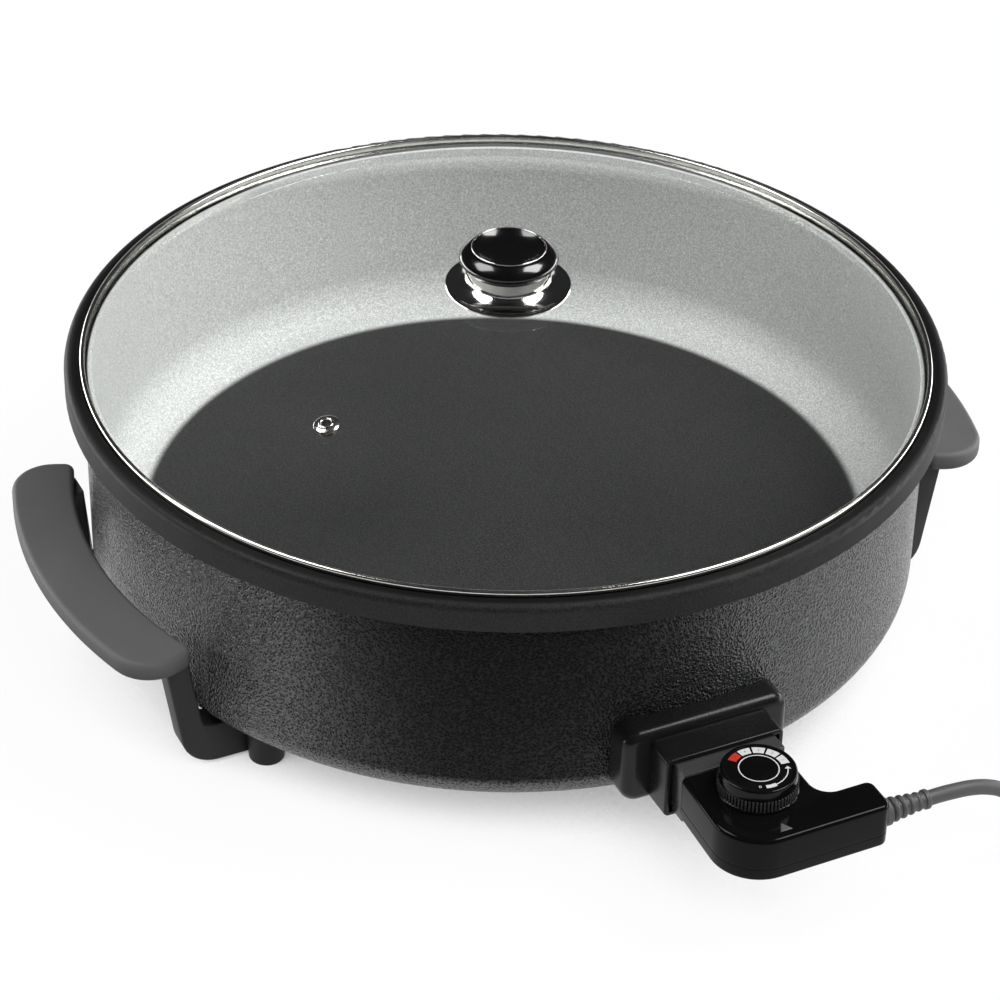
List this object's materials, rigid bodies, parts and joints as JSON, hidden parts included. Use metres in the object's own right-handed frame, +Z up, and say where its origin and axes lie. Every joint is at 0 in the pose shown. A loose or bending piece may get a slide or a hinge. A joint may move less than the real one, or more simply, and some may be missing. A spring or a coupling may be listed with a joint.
{
  "type": "electric pizza pan",
  "caption": "Round countertop electric pizza pan with foot handles, a lift-off domed glass lid with a knob, and a plug-in thermostat controller with a dial and a mains lead",
  "frame": {"origin": "on the pan's vertical axis, at table height", "axes": "+Z up, -Y towards the controller at the front, +X to the right of someone facing the controller"},
  "size_m": [0.5163, 0.5019, 0.1943],
  "materials": {
    "pan_coating": "cast, with a satin non-stick coat with fine sparkle",
    "shell_paint": "hammered black paint",
    "phenolic": "matte moulded",
    "socket_plastic": "satin moulded",
    "case_plastic": "gloss moulded",
    "nose_plastic": "matte moulded",
    "lid_glass": "clear tempered glass",
    "polished_steel": "polished",
    "steel": "plain",
    "sheath": "heat-darkened",
    "aluminium": "bright sheet",
    "brass": "plain",
    "ceramic": "unglazed ceramic",
    "silicone": "soft",
    "lead_rubber": "satin",
    "wire": "insulation",
    "lens": "translucent white",
    "lamp": "small neon tube"
  },
  "bodies": {
    "pan": {"inner_pan": "pan_coating", "outer_shell": "shell_paint", "heating_element": "sheath", "element_clips": "steel", "heat_shield": "aluminium", "spacer_posts": "steel", "post_screws": "steel", "probe_guide": "steel", "socket_housing": "socket_plastic", "contact_pins": "brass", "earth_pin": "brass", "terminal_nuts": "steel", "terminal_straps": "brass", "socket_screws": "steel", "left_handle": "phenolic", "right_handle": "phenolic", "handle_screws": "steel", "handle_nuts": "steel"},
    "lid": {"lid_glass": "lid_glass", "lid_band": "polished_steel", "steam_vent": "polished_steel", "knob": "case_plastic", "knob_skirt": "polished_steel", "knob_insert": "brass", "knob_screw": "steel", "knob_washer": "steel", "knob_seal": "silicone"},
    "controller": {"case_top": "case_plastic", "case_bottom": "case_plastic", "case_screws": "steel", "controller_nose": "nose_plastic", "contact_sleeves": "brass", "earth_sleeve": "brass", "probe_rod": "steel", "thermostat_frame": "steel", "bimetal_strip": "brass", "contact_blades": "brass", "ceramic_spacers": "ceramic", "stack_rivet": "steel", "pilot_lens": "lens", "pilot_lamp": "lamp", "lead_wires": "wire", "strain_relief": "lead_rubber", "cord": "lead_rubber", "cord_coil": "lead_rubber", "cord_tail": "lead_rubber", "cord_tie": "lead_rubber", "plug_body": "lead_rubber", "plug_pins": "polished_steel", "plug_earth_clips": "polished_steel"},
    "dial": {"dial": "case_plastic", "dial_spindle": "steel"}
  },
  "joints": [
    {"name": "lid_lift", "type": "slide", "parent": "pan", "child": "lid", "axis": [0, 0, 1], "range_m": [0, 0.12]},
    {"name": "controller_pull", "type": "slide", "parent": "pan", "child": "controller", "axis": [0, -1, 0], "range_m": [0, 0.12]},
    {"name": "dial_turn", "type": "hinge", "parent": "controller", "child": "dial", "pos_m": [0, -0.2575, 0.0624], "axis": [0, 0, -1], "range_deg": [0, 270]}
  ]
}
